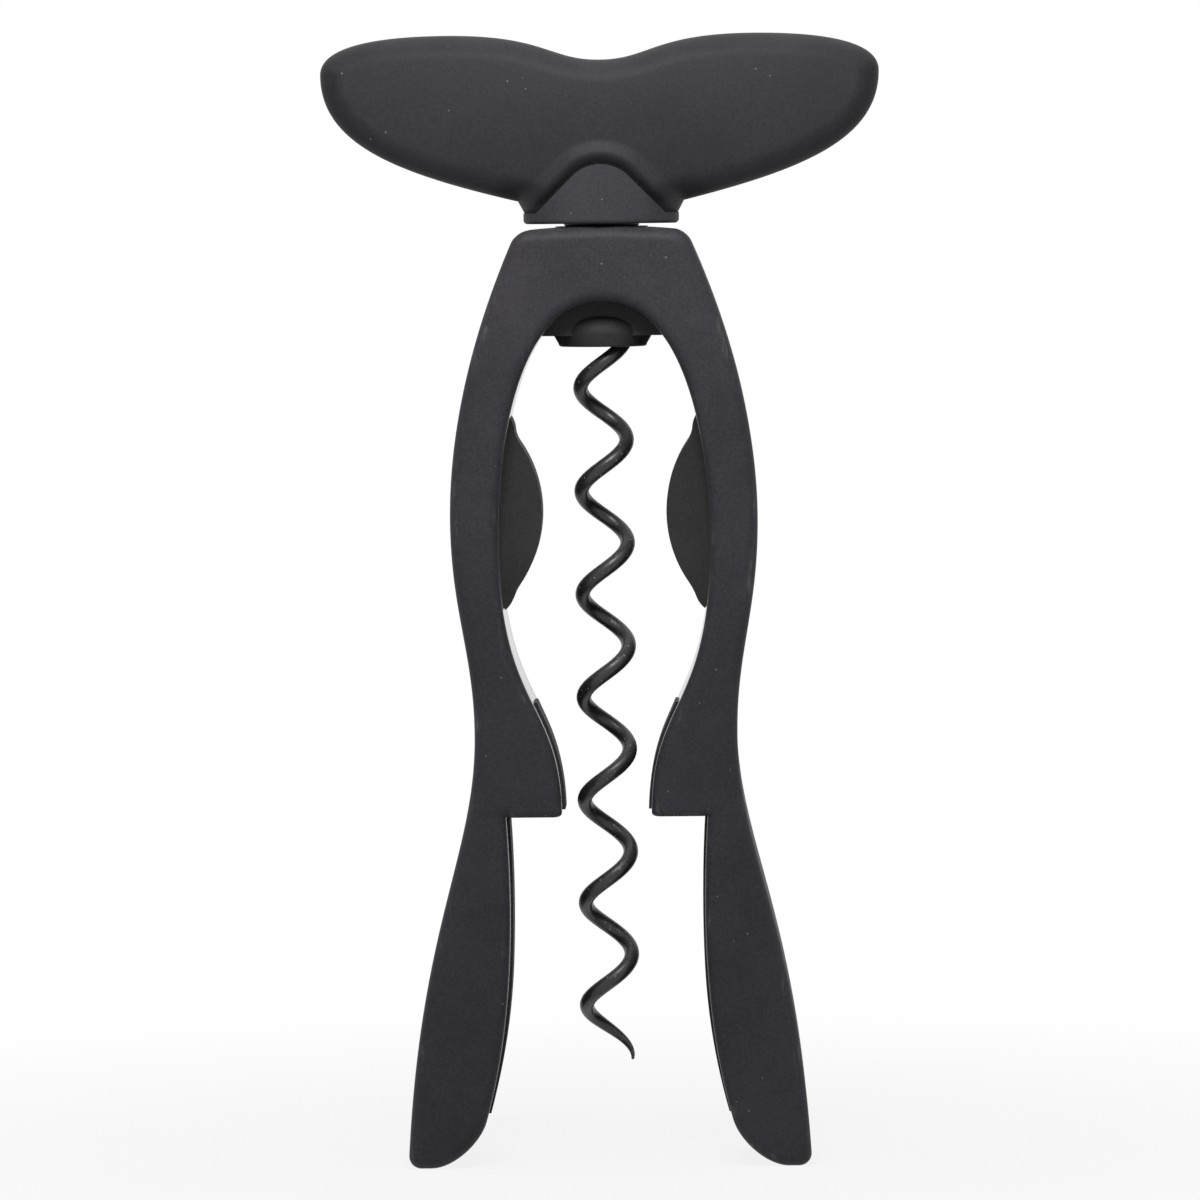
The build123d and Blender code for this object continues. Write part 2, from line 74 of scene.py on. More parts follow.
def table_finish():
    """White to the camera and in reflections; near the object it lets a faint shadow through."""
    material = bpy.data.materials.new("table_white")
    material.use_nodes = True
    nodes = material.node_tree.nodes
    links = material.node_tree.links
    nodes.clear()
    output = nodes.new("ShaderNodeOutputMaterial")
    mix = nodes.new("ShaderNodeMixShader")
    diffuse = nodes.new("ShaderNodeBsdfDiffuse")
    glow = nodes.new("ShaderNodeEmission")
    rays = nodes.new("ShaderNodeLightPath")
    place = nodes.new("ShaderNodeTexCoord")
    reach = nodes.new("ShaderNodeVectorMath")
    fade = nodes.new("ShaderNodeMapRange")
    seen = nodes.new("ShaderNodeMath")
    amount = nodes.new("ShaderNodeMath")
    diffuse.inputs["Color"].default_value = TABLE_WHITE
    glow.inputs["Color"].default_value = WHITE
    glow.inputs["Strength"].default_value = 1.0
    reach.operation = "LENGTH"
    fade.inputs["From Min"].default_value = SHADOW_NEAR * MM
    fade.inputs["From Max"].default_value = SHADOW_FAR * MM
    fade.inputs["To Min"].default_value = TABLE_GLOW
    fade.inputs["To Max"].default_value = 1.0
    seen.operation = "MAXIMUM"
    amount.operation = "MULTIPLY"
    links.new(place.outputs["Object"], reach.inputs[0])
    links.new(reach.outputs["Value"], fade.inputs["Value"])
    links.new(rays.outputs["Is Camera Ray"], seen.inputs[0])
    links.new(rays.outputs["Is Glossy Ray"], seen.inputs[1])
    links.new(seen.outputs[0], amount.inputs[0])
    links.new(fade.outputs["Result"], amount.inputs[1])
    links.new(amount.outputs[0], mix.inputs["Fac"])
    links.new(diffuse.outputs[0], mix.inputs[1])
    links.new(glow.outputs[0], mix.inputs[2])
    links.new(mix.outputs[0], output.inputs["Surface"])
    return material


def soft_box(name, place, aim, width, height, power):
    """A rectangular lamp at a place in millimetres, turned towards a point."""
    lamp = bpy.data.lights.new(name, "AREA")
    lamp.shape = "RECTANGLE"
    lamp.size = width * MM
    lamp.size_y = height * MM
    lamp.energy = power
    holder = bpy.data.objects.new(name, lamp)
    bpy.context.scene.collection.objects.link(holder)
    holder.location = Vector(place) * MM
    holder.rotation_euler = (Vector(aim) - Vector(place)).to_track_quat("-Z", "Y").to_euler()
    holder.visible_camera = False


table_corners = np.array([(-1, -1), (1, -1), (1, 1), (-1, 1)]) * TABLE_HALF
table_points = np.column_stack([table_corners, np.full(4, -TABLE_DROP)])
table_top = put_mesh("table_top", table_points, [(0, 1, 2, 3)])
table_top.data.materials.append(table_finish())

room = bpy.data.worlds.new("white_room")
room.use_nodes = True
bpy.context.scene.world = room
room_nodes = room.node_tree.nodes
room_links = room.node_tree.links
room_nodes.clear()
room_output = room_nodes.new("ShaderNodeOutputWorld")
room_mix = room_nodes.new("ShaderNodeMixShader")
room_light = room_nodes.new("ShaderNodeBackground")
room_seen = room_nodes.new("ShaderNodeBackground")
room_rays = room_nodes.new("ShaderNodeLightPath")
room_light.inputs["Color"].default_value = WHITE
room_light.inputs["Strength"].default_value = SKY_STRENGTH
room_seen.inputs["Color"].default_value = WHITE
room_seen.inputs["Strength"].default_value = 1.0
room_open = room_nodes.new("ShaderNodeMath")
room_open.operation = "MAXIMUM"
room_links.new(room_rays.outputs["Is Camera Ray"], room_open.inputs[0])
room_links.new(room_rays.outputs["Is Glossy Ray"], room_open.inputs[1])
room_links.new(room_open.outputs[0], room_mix.inputs["Fac"])
room_links.new(room_light.outputs[0], room_mix.inputs[1])
room_links.new(room_seen.outputs[0], room_mix.inputs[2])
room_links.new(room_mix.outputs[0], room_output.inputs["Surface"])

soft_box("overhead_box", (0, -60, 640), (0, 0, 90), 700, 520, 0.6)
soft_box("key_box", (-3, -120, 225), (0, 0, 140), 60, 50, 0.17)

camera_data = bpy.data.cameras.new("photo_camera")
camera_data.sensor_width = SENSOR_WIDTH
camera_data.lens = MIDDLE_SCALE * CAMERA_DISTANCE / PHOTO_WIDTH * SENSOR_WIDTH
camera_data.clip_start = 0.01
camera_data.clip_end = 10.0
camera = bpy.data.objects.new("photo_camera", camera_data)
bpy.context.scene.collection.objects.link(camera)
camera_back = Vector((math.sin(CAMERA_TURN) * math.cos(CAMERA_TILT),
                      -math.cos(CAMERA_TURN) * math.cos(CAMERA_TILT),
                      math.sin(CAMERA_TILT)))
camera.location = (camera_aim + camera_back * CAMERA_DISTANCE) * MM
camera_facing = (-camera_back).to_track_quat("-Z", "Y").to_matrix().to_4x4()
camera.rotation_euler = (camera_facing @ Matrix.Rotation(CAMERA_ROLL, 4, "Z")).to_euler()
bpy.context.scene.camera = camera
bpy.context.scene.view_settings.view_transform = "Standard"


# The core of the frame: a plate of nylon, moulded black in one piece with the boss over the cork cage.
# It is a shade warmer than the covers, with a fine dull grain, and eight pegs of nylon tie the covers
# to it. Core and covers are drawn here from curves that follow the photograph closer than the solids.
CORE_BLACK = (0.030, 0.0285, 0.030)
CORE_WORN = (0.046, 0.044, 0.046)
SEAT = 53.1
CEILING = 125.4
ARCH_TOP = 130.65
SHOULDER = (12.7, 141.4)
DOME = 0.5
FRAME_TOP = SHOULDER[1] + DOME
CORNER = 2.0
CORE_HALF = 6.0
SEAT_GAP = 6.75
SEAT_ROUND = 0.6
SEAT_JOIN = 1.2
CAGE_WIDE = (15.95, 95.0)
NECK_TOP = 15.2
ANKLE = (18.6, 7.0)
FOOT = (30.4, 3.4)
BOSS = 7.6
BOSS_TIP = 6.7
BOSS_LOW = 123.7
BOSS_WIDE = 125.7
BOSS_DOME = 3.0
BOSS_NOSE = 0.4
BOSS_SIDES = 96
BUSH = 5.5
FLANGE = 7.0
FLANGE_DEPTH = 1.2
BORE_SIDES = 72
OVERCUT = 5
LEG_ROWS = 90
CAGE_ROWS = 150
BRIDGE_ROWS = 40
COLUMNS = 40
WELD = 0.002
SLIVER = 0.001
SHARP_ANGLE = math.radians(38)
CLOUD_SCALE = 62.0
FINE_SCALE = 2400.0
FINE_SHARE = 0.4
TONE_BAND = (0.40, 0.60)
TOP_FILM_FROM = 0.15
STREAK_SCALE = 900.0
STREAK_STRETCH = (1.0, 1.0, 0.16)
STREAK_BAND = (0.55, 0.72)
RIM_BAND = (0.35, 0.62)
RIM_END = 0.93
FACE_FROM = 0.985
PATCH_BAND = (0.50, 0.62)
WALL_BAND = (0.02, 0.3)


def ramp(nodes, low, high, low_colour, high_colour):
    """A colour ramp node that runs from one colour to another between two values."""
    made = nodes.new("ShaderNodeValToRGB")
    made.color_ramp.elements[0].position = low
    made.color_ramp.elements[0].color = (*low_colour, 1.0)
    made.color_ramp.elements[1].position = high
    made.color_ramp.elements[1].color = (*high_colour, 1.0)
    return made


def maths(nodes, links, operation, first, second):
    """A maths node on two values, each a socket or a plain number."""
    made = nodes.new("ShaderNodeMath")
    made.operation = operation
    made.use_clamp = operation in ("MULTIPLY", "ADD")
    for socket, value in zip(made.inputs, (first, second)):
        if isinstance(value, (int, float)):
            socket.default_value = value
        else:
            links.new(value, socket)
    return made.outputs[0]


def black_skin(name, dark, light, roughness=(0.52, 0.68), grain_size=0.32, grain_depth=0.012,
               speck_share=0.3, dust_and_highlight_colour=(0.2, 0.195, 0.19), speck_gap=2.3, speck_radius=0.15,
               dust_and_top_light=0.22, rim_rub_and_highlight=0.0, wall_roughness=None, gloss=0.26, velvet=0.0):
    """A black moulded skin; its sizes are in millimetres.

    The tone is a ramp over a cloudy and a fine noise. Specks of dust are the cores of a share of the cells of
    a cell pattern. A film grows lighter with how far the surface faces up, dust with painted light from
    above,
    and rims that turn from the front to the side are lightened where a noise drawn out upwards is high:
    rubbed wear with a painted rim highlight. Walls that face the axis can be smooth.
    """
    material = bpy.data.materials.new(name)
    material.use_nodes = True
    nodes = material.node_tree.nodes
    links = material.node_tree.links
    skin = nodes["Principled BSDF"]
    skin.inputs["IOR"].default_value = 1.45
    skin.inputs["Specular IOR Level"].default_value = gloss
    skin.inputs["Sheen Weight"].default_value = velvet
    skin.inputs["Sheen Roughness"].default_value = 0.3
    place = nodes.new("ShaderNodeTexCoord")

    clouds = nodes.new("ShaderNodeTexNoise")
    clouds.inputs["Scale"].default_value = CLOUD_SCALE
    clouds.inputs["Detail"].default_value = 9.0
    clouds.inputs["Roughness"].default_value = 0.74
    links.new(place.outputs["Object"], clouds.inputs["Vector"])
    fine = nodes.new("ShaderNodeTexNoise")
    fine.inputs["Scale"].default_value = FINE_SCALE
    fine.inputs["Detail"].default_value = 2.0
    links.new(place.outputs["Object"], fine.inputs["Vector"])
    mottle = nodes.new("ShaderNodeMix")
    mottle.inputs["Factor"].default_value = FINE_SHARE
    links.new(clouds.outputs["Fac"], mottle.inputs["A"])
    links.new(fine.outputs["Fac"], mottle.inputs["B"])
    tone = ramp(nodes, *TONE_BAND, dark, light)
    links.new(mottle.outputs["Result"], tone.inputs["Fac"])

    cells = nodes.new("ShaderNodeTexVoronoi")
    cells.inputs["Scale"].default_value = 1.0 / (speck_gap * MM)
    links.new(place.outputs["Object"], cells.inputs["Vector"])
    parts = nodes.new("ShaderNodeSeparateColor")
    links.new(cells.outputs["Color"], parts.inputs["Color"])
    near = maths(nodes, links, "LESS_THAN", cells.outputs["Distance"], speck_radius / speck_gap)
    chosen = maths(nodes, links, "LESS_THAN", parts.outputs["Red"], speck_share)
    specks = maths(nodes, links, "MULTIPLY", near, chosen)
    specks = maths(nodes, links, "MULTIPLY", specks, parts.outputs["Green"])

    turned = nodes.new("ShaderNodeSeparateXYZ")
    links.new(place.outputs["Normal"], turned.inputs["Vector"])
    # A film lighter where the surface faces up: dust, together with painted light from above.
    upward = nodes.new("ShaderNodeMapRange")
    upward.inputs["From Min"].default_value = TOP_FILM_FROM
    upward.inputs["From Max"].default_value = 1.0
    upward.inputs["To Max"].default_value = dust_and_top_light
    links.new(turned.outputs["Z"], upward.inputs["Value"])
    dust_and_top_light_film = maths(nodes, links, "MULTIPLY", upward.outputs["Result"], clouds.outputs["Fac"])

    streak_place = nodes.new("ShaderNodeMapping")
    streak_place.inputs["Scale"].default_value = STREAK_STRETCH
    links.new(place.outputs["Object"], streak_place.inputs["Vector"])
    streak_noise = nodes.new("ShaderNodeTexNoise")
    streak_noise.inputs["Scale"].default_value = STREAK_SCALE
    streak_noise.inputs["Detail"].default_value = 3.0
    links.new(streak_place.outputs["Vector"], streak_noise.inputs["Vector"])
    facing = maths(nodes, links, "ABSOLUTE", turned.outputs["Y"], 0.0)
    # Rims that turn from the front to the side get light streaks: rubbed wear together with a painted rim
    # highlight.
    rim = ramp(nodes, *RIM_BAND, (0, 0, 0), (1, 1, 1))
    rim_end = rim.color_ramp.elements.new(RIM_END)
    rim_end.color = (0.7, 0.7, 0.7, 1.0)
    rim_face = rim.color_ramp.elements.new(FACE_FROM)
    rim_face.color = (0.0, 0.0, 0.0, 1.0)
    links.new(facing, rim.inputs["Fac"])
    rim_streaks = ramp(nodes, *STREAK_BAND, (0, 0, 0), (1, 1, 1))
    links.new(streak_noise.outputs["Fac"], rim_streaks.inputs["Fac"])
    patch = ramp(nodes, *PATCH_BAND, (0.12, 0.12, 0.12), (1, 1, 1))
    links.new(clouds.outputs["Fac"], patch.inputs["Fac"])
    rim_wear_and_highlight = maths(nodes, links, "MULTIPLY", rim.outputs["Color"], rim_streaks.outputs["Color"])
    rim_wear_and_highlight = maths(nodes, links, "MULTIPLY", rim_wear_and_highlight, patch.outputs["Color"])
    rim_wear_and_highlight = maths(nodes, links, "MULTIPLY", rim_wear_and_highlight, rim_rub_and_highlight)

    marks = maths(nodes, links, "ADD", maths(nodes, links, "ADD", specks, dust_and_top_light_film), rim_wear_and_highlight)
    colour = nodes.new("ShaderNodeMixRGB")
    colour.inputs["Color2"].default_value = (*dust_and_highlight_colour, 1.0)
    links.new(marks, colour.inputs["Fac"])
    links.new(tone.outputs["Color"], colour.inputs["Color1"])
    links.new(colour.outputs["Color"], skin.inputs["Base Color"])

    sheen = nodes.new("ShaderNodeMapRange")
    sheen.inputs["To Min"].default_value = roughness[0]
    sheen.inputs["To Max"].default_value = roughness[1]
    links.new(clouds.outputs["Fac"], sheen.inputs["Value"])
    finish = sheen.outputs["Result"]
    relief = None
    if wall_roughness is not None:
        flat_share = nodes.new("ShaderNodeMapRange")
        flat_share.inputs["From Min"].default_value = WALL_BAND[0]
        flat_share.inputs["From Max"].default_value = WALL_BAND[1]
        links.new(facing, flat_share.inputs["Value"])
        where = nodes.new("ShaderNodeSeparateXYZ")
        links.new(place.outputs["Object"], where.inputs["Vector"])
        left_side = maths(nodes, links, "LESS_THAN", where.outputs["X"], 0.0)
        faces_left = maths(nodes, links, "LESS_THAN", turned.outputs["X"], 0.0)
        outward = maths(nodes, links, "COMPARE", left_side, faces_left)
        relief = maths(nodes, links, "MAXIMUM", flat_share.outputs["Result"], outward)
        blend = nodes.new("ShaderNodeMix")
        blend.inputs["A"].default_value = wall_roughness
        links.new(relief, blend.inputs["Factor"])
        links.new(finish, blend.inputs["B"])
        finish = blend.outputs["Result"]
    links.new(finish, skin.inputs["Roughness"])

    grain = nodes.new("ShaderNodeTexNoise")
    grain.inputs["Scale"].default_value = 1.0 / (grain_size * MM)
    grain.inputs["Detail"].default_value = 2.0
    links.new(place.outputs["Object"], grain.inputs["Vector"])
    raised = nodes.new("ShaderNodeBump")
    raised.inputs["Distance"].default_value = grain_depth * MM
    raised.inputs["Strength"].default_value = 1.0
    if relief is not None:
        links.new(relief, raised.inputs["Strength"])
    links.new(grain.outputs["Fac"], raised.inputs["Height"])
    links.new(raised.outputs["Normal"], skin.inputs["Normal"])
    return material


def finish_node(node_name, material):
    """Gives a CAD node its finish."""
    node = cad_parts[node_name]
    if not node.material_slots:
        node.data.materials.append(material)
    for place in node.material_slots:
        place.material = material


def cubic(start, pulls, end, count):
    """Points of a cubic curve from its ends and the pulls at them."""
    t = np.linspace(0, 1, count)[:, None]
    start, end = np.array(start), np.array(end)
    first, second = start + pulls[0], end + pulls[1]
    return (1 - t) ** 3 * start + 3 * (1 - t) ** 2 * t * first + 3 * (1 - t) * t * t * second + t ** 3 * end


def distance_to(line, x, z):
    """The least distance of each point of a grid from a line of points, taken segment by segment."""
    grid = np.stack([x, z], -1)[:, :, None]
    starts, ways = line[:-1], np.diff(line, axis=0)
    along = np.sum((grid - starts) * ways, -1) / np.sum(ways * ways, -1)
    nearest = starts + np.clip(along, 0, 1)[..., None] * ways
    return np.linalg.norm(grid - nearest, axis=-1).min(-1)


def step_between(value, low, high):
    """A smooth step from 0 at low to 1 at high."""
    share = np.clip((value - low) / (high - low), 0, 1)
    return share * share * (3 - 2 * share)


def blocks_mesh(blocks):
    """Points and faces of several grids of points, each indexed across and up."""
    points, faces, count = [], [], 0
    for block in blocks:
        wide, tall = block.shape[:2]
        first = count + (np.arange(wide - 1)[:, None] * tall + np.arange(tall - 1)).ravel()
        points.append(block.reshape(-1, 3))
        faces.append(np.stack([first, first + tall, first + tall + 1, first + 1], -1))
        count += wide * tall
    return np.concatenate(points), np.concatenate(faces)


def welded_mesh(name, blocks, side=-1):
    """One mesh from grids drawn for the front, welded where they meet; side 1 turns it to the back.

    Faces that lie in the middle plane, where two mirrored halves meet, are taken out."""
    points, faces = blocks_mesh(blocks)
    if side > 0:
        points = points * (1, -1, 1)
        faces = faces[:, ::-1]
    made = put_mesh(name, points, faces)
    welded = bmesh.new()
    welded.from_mesh(made.data)
    bmesh.ops.remove_doubles(welded, verts=welded.verts, dist=WELD * MM)
    bmesh.ops.dissolve_degenerate(welded, edges=welded.edges, dist=SLIVER * MM)
    middle_faces = [face for face in welded.faces
                    if max(abs(vert.co.x) for vert in face.verts) < SLIVER * MM]
    bmesh.ops.delete(welded, geom=middle_faces, context="FACES")
    welded.to_mesh(made.data)
    welded.free()
    made.data.set_sharp_from_angle(angle=SHARP_ANGLE)
    return made


def bored(shape, radius, low, high):
    """Cuts an upright round hole on the axis through a shape: a many-sided prism from low to high."""
    turn = np.linspace(0, 2 * math.pi, BORE_SIDES + 1)[:-1]
    ring = np.stack([radius * np.cos(turn), radius * np.sin(turn)], -1)
    points = np.concatenate([np.column_stack([ring, np.full(BORE_SIDES, height)]) for height in (low, high)])
    here = np.arange(BORE_SIDES)
    beside = (here + 1) % BORE_SIDES
    sides = np.stack([here, beside, beside + BORE_SIDES, here + BORE_SIDES], -1).tolist()
    ends = [here[::-1].tolist(), (here + BORE_SIDES).tolist()]
    drill = put_mesh("drill", points, sides + ends, smooth=False)
    cut = shape.modifiers.new("bore", "BOOLEAN")
    cut.operation = "DIFFERENCE"
    cut.solver = "EXACT"
    cut.use_hole_tolerant = True
    cut.object = drill
    finished = shape.evaluated_get(bpy.context.evaluated_depsgraph_get())
    mesh = bpy.data.meshes.new_from_object(finished)
    shape.modifiers.clear()
    shape.data = mesh
    shape.data.set_sharp_from_angle(angle=SHARP_ANGLE)
    bpy.data.objects.remove(drill)


def width_at(line, height):
    """How far out a line of points (across, up) that runs upwards lies at each height."""
    return np.interp(height, line[:, 1], line[:, 0])


def spaced(low, high, count):
    """Numbers from low to high, closer together at both ends."""
    return low + (high - low) * (0.5 - 0.5 * np.cos(np.linspace(0, math.pi, count)))


flank = np.concatenate([cubic((19.8, 65.5), [(0, -18.1), (-1.9, 37.2)], (30.5, 0), 90)[::-1],
                        cubic((23.15, 98.0), [(0, -14.0), (0, 12.5)], (19.8, 65.5), 50)[-2::-1],
                        cubic(SHOULDER, [(7.6, -16.7), (0, 12.0)], (23.15, 98.0), 70)[-2::-1]])
neck_wall = np.concatenate([cubic(ANKLE, [(0.9, -3.165), (-3.4, 0)], (FOOT[0] - FOOT[1], 0), 40)[::-1],
                            cubic((NECK_TOP, SEAT), [(-1.03, -15.0), (-4.15, 14.6)], ANKLE, 60)[-2::-1]])
cage_low = cubic(CAGE_WIDE, [(0, -26.3), (0, 18.0)], (SEAT_GAP, SEAT), 90)[::-1]
seat_turn = np.linspace(0, math.pi / 2, 9)
seat_arc = np.stack([np.sin(seat_turn), np.cos(seat_turn)], -1)
seat_corner = (SEAT_GAP + SEAT_ROUND, SEAT + SEAT_ROUND) - SEAT_ROUND * seat_arc
cage_wall = np.concatenate([seat_corner, cage_low[cage_low[:, 1] > SEAT + SEAT_JOIN * SEAT_ROUND],
                            cubic((0, ARCH_TOP), [(13.2, 0), (0, 12.15)], CAGE_WIDE, 110)[-2::-1]])


def outside_at(height):
    """Half width of the frame at each height, with rounded corners at the shoulders and the feet."""
    foot = CORNER - np.sqrt(CORNER ** 2 - np.clip(CORNER - height, 0, CORNER) ** 2)
    top = CORNER - np.sqrt(CORNER ** 2 - np.clip(height - SHOULDER[1] + CORNER, 0, CORNER) ** 2)
    return width_at(flank, height) - foot - top


def frame_grids(ceiling, inset):
    """The right half of a layer as two grids of (across, up), below the seat and above it.

    Each row runs from the inner wall to the outer one, both drawn in by an inset, and its points crowd
    at the walls by a cosine. The last row bulges by a parabola into the low dome of the top."""
    heights = spaced(0, SEAT, LEG_ROWS)
    across = np.linspace(0, 1, COLUMNS)
    across = 0.5 - 0.5 * np.cos(math.pi * across)
    inner, outer = width_at(neck_wall, heights) + inset, outside_at(heights) - inset
    low_x = inner[:, None] + (outer - inner)[:, None] * across
    low_z = np.repeat(heights[:, None], len(across), 1)
    cage = spaced(SEAT, ceiling, CAGE_ROWS)
    bridge = spaced(ceiling, SHOULDER[1], BRIDGE_ROWS)
    heights = np.concatenate([cage, bridge])
    inner = np.concatenate([width_at(cage_wall, cage) + inset, np.zeros(len(bridge))])
    outer = outside_at(heights) - inset
    high_x = inner[:, None] + (outer - inner)[:, None] * across
    high_z = np.repeat(heights[:, None], len(across), 1)
    domed = SHOULDER[1] + DOME * (1 - (high_x[-1] / high_x[-1, -1]) ** 2)
    high_x = np.concatenate([high_x, high_x[-1:]])
    high_z = np.concatenate([high_z, domed[None]])
    return [(low_x, low_z), (high_x, high_z)]


def loop_of(x, z):
    """The edge of a grid that is indexed up and across, as one closed line."""
    both = np.stack([x, z], -1)
    return np.concatenate([both[0, :-1], both[:-1, -1], both[-1, :0:-1], both[::-1, 0]])


def plate_blocks(ceiling, depth_of, back, seam):
    """A layer as grids: its face, its back and the walls between them, right and then mirrored.

    The walls are rings of the layer's edge at four depths; the last is drawn in as the seam's bevel."""
    blocks = []
    for (x, z), (rear_x, rear_z) in zip(frame_grids(ceiling, 0), frame_grids(ceiling, seam)):
        face = np.stack([x, depth_of(x, z), z], -1)
        loop, rear_loop = loop_of(x, z), loop_of(rear_x, rear_z)
        front_y = depth_of(loop[None, :, 0], loop[None, :, 1])[0]
        depths = (front_y, (front_y + back) / 2, np.full_like(front_y, back - seam))
        rings = [np.stack([loop[:, 0], depth, loop[:, 1]], -1) for depth in depths]
        rings.append(np.stack([rear_loop[:, 0], np.full_like(front_y, back), rear_loop[:, 1]], -1))
        wall = np.stack(rings, 1)[::-1]
        rear = np.stack([rear_x, np.full_like(rear_x, back), rear_z], -1)
        for block in (face.transpose(1, 0, 2), wall, rear):
            blocks += [block, (block * (-1, 1, 1))[::-1]]
    return blocks


def core_depth(x, z):
    """The core's face is flat."""
    return np.full_like(x, -CORE_HALF)


nose = np.radians(np.linspace(0, 90, 5))
dome_turn = np.linspace(0, math.acos(1 - (BOSS - BUSH) / BOSS_DOME), 14)
boss_profile = np.array([(BUSH, BOSS_WIDE + BOSS_DOME * math.sin(dome_turn[-1])), (BUSH, BOSS_LOW)] +
                        [(BOSS_TIP - BOSS_NOSE + BOSS_NOSE * math.sin(a),
                          BOSS_LOW + BOSS_NOSE - BOSS_NOSE * math.cos(a)) for a in nose] +
                        [(BOSS - BOSS_DOME * (1 - math.cos(a)),
                          BOSS_WIDE + BOSS_DOME * math.sin(a)) for a in dome_turn])
round_turn = np.linspace(0, 2 * math.pi, BOSS_SIDES + 1)[:, None]
boss_block = np.stack([boss_profile[:, 0] * np.cos(round_turn), boss_profile[:, 0] * np.sin(round_turn),
                       np.repeat(boss_profile[None, :, 1], BOSS_SIDES + 1, 0)], -1)
core_shape = welded_mesh("frame_core_skin", plate_blocks(CEILING, core_depth, CORE_HALF, 0))
bored(core_shape, BUSH, BOSS_LOW, FRAME_TOP + OVERCUT)
bored(core_shape, FLANGE, FRAME_TOP - FLANGE_DEPTH, FRAME_TOP + OVERCUT)
boss_ring = welded_mesh("boss_ring", [boss_block])
joined = bmesh.new()
joined.from_mesh(core_shape.data)
joined.from_mesh(boss_ring.data)
joined.to_mesh(core_shape.data)
joined.free()
bpy.data.objects.remove(boss_ring)
core_skin = black_skin("core_nylon", CORE_BLACK, CORE_WORN, grain_size=0.25, grain_depth=0.01, dust_and_top_light=0.15,
                       wall_roughness=0.1)
core_shape.data.materials.append(core_skin)
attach(core_shape, "frame")
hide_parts("frame_core")
peg_skin = black_skin("peg_nylon", (0.034, 0.032, 0.033), (0.044, 0.042, 0.043),
                      roughness=(0.4, 0.5), grain_size=0.4)
finish_node("frame_pegs", peg_skin)


# The two covers: nylon plates with a thin black soft-touch coat, rounded along every outer edge, one
# on each face of the core. The coat is matt with a leathery grain and carries specks of dust; along the
# rims of the legs it is lighter, rubbed wear together with a painted rim highlight.
COAT_DARK = (0.0302, 0.0283, 0.0341)
COAT_LIGHT = (0.0513, 0.0483, 0.0576)
cover_skin = black_skin("cover_soft_touch", COAT_DARK, COAT_LIGHT, rim_rub_and_highlight=0.8, wall_roughness=0.1, velvet=0.06)
COVER_ROUND = 1.8
COVER_FRONT = 12.0
SEAM = 0.16
SEAT_EDGE = 0.7
FLANGE_GAP = 0.1
seat_line = np.array([(SEAT_GAP + SEAT_ROUND, SEAT), (NECK_TOP, SEAT)])
outside_heights = spaced(0, SHOULDER[1], 200)
outside_line = np.stack([outside_at(outside_heights), outside_heights], -1)
outside_line = np.concatenate([[(FOOT[0] - FOOT[1], 0.0)], outside_line, [(0.0, SHOULDER[1] + DOME)]])


def cover_depth(x, z):
    """The cover's face: flat, with a quarter round by the distance from its edges.

    Along the seats only the end of the round is taken, as if the edge lay a little further off."""
    walls = np.minimum(distance_to(neck_wall, x, z), distance_to(cage_wall, x, z))
    edges = np.minimum(distance_to(outside_line, x, z), walls)
    near = np.minimum(edges, distance_to(seat_line, x, z) + SEAT_EDGE)
    inside = np.minimum(near, COVER_ROUND)
    return -(COVER_FRONT - COVER_ROUND + np.sqrt(COVER_ROUND ** 2 - (COVER_ROUND - inside) ** 2))


for cover_name, side in (("front_cover", -1), ("back_cover", 1)):
    cover_blocks = plate_blocks(ARCH_TOP, cover_depth, -CORE_HALF, SEAM)
    cover_shape = welded_mesh(cover_name + "_skin", cover_blocks, side)
    bored(cover_shape, FLANGE + FLANGE_GAP, FRAME_TOP - FLANGE_DEPTH - FLANGE_GAP, FRAME_TOP + OVERCUT)
    cover_shape.data.materials.append(cover_skin)
    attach(cover_shape, "frame")
    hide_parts(cover_name)


# The grips and pads: strips of black thermoplastic rubber pressed into the core, two crescent fins
# that stop the cork from turning and four thin pads that slide past the cork and the bottle's neck.
# The rubber is duller and browner than the coat, and its upward faces carry more dust and painted top light.
RUBBER_DARK = (0.032, 0.0304, 0.0308)
RUBBER_LIGHT = (0.048, 0.0458, 0.0461)
rubber_skin = black_skin("grip_rubber", RUBBER_DARK, RUBBER_LIGHT, roughness=(0.6, 0.78), grain_size=0.22,
                         speck_share=0.24, dust_and_top_light=0.3)
for side in ("right", "left"):
    for piece in ("cork_grip", "shoulder_pad", "neck_pad"):
        finish_node(side + "_" + piece, rubber_skin)


# The guide bush and the thrust ring: turned from black acetal, smooth and slightly waxy, polished by
# the worm and the spigot that run in them.
acetal_skin = black_skin("bush_acetal", (0.018, 0.018, 0.0185), (0.026, 0.026, 0.0265), roughness=(0.28, 0.4),
                         grain_size=0.6, grain_depth=0.003, speck_share=0.05, dust_and_top_light=0.1)
finish_node("guide_bush", acetal_skin)
finish_node("thrust_washer", acetal_skin)


# The worm: spring steel wire wound right-handed round an open core, ground to a point and baked with
# a black non-stick coating that shines where it curves and is speckled with pinholes and dust.
WORM_OUTER = 4.57
WIRE = 1.12
PITCH = 15.65
LEFT_HEIGHT = 117.35
TIP_HEIGHT = 15.35
TAPER_TURNS = 0.55
POINT = 0.22
LEAD_IN_TOP = 132.2
LEAD_IN_TURNS = 0.5
SHANK_TOP = 161.0
LEAD_IN_TURN = (LEAD_IN_TOP - LEFT_HEIGHT) / PITCH


def worm_centre(turn):
    """The wire's centre line: a helix by turns above the left-hand side, drawn in to the axis at its top."""
    height = LEFT_HEIGHT + PITCH * turn
    inward = np.clip((height - LEAD_IN_TOP) / (LEAD_IN_TURNS * PITCH) + 1, 0, 1)
    reach = (WORM_OUTER - WIRE) * (1 - inward * inward * (3 - 2 * inward))
    angle = math.pi + 2 * math.pi * np.minimum(turn, LEAD_IN_TURN)
    return np.stack([reach * np.cos(angle), reach * np.sin(angle), height], -1), angle


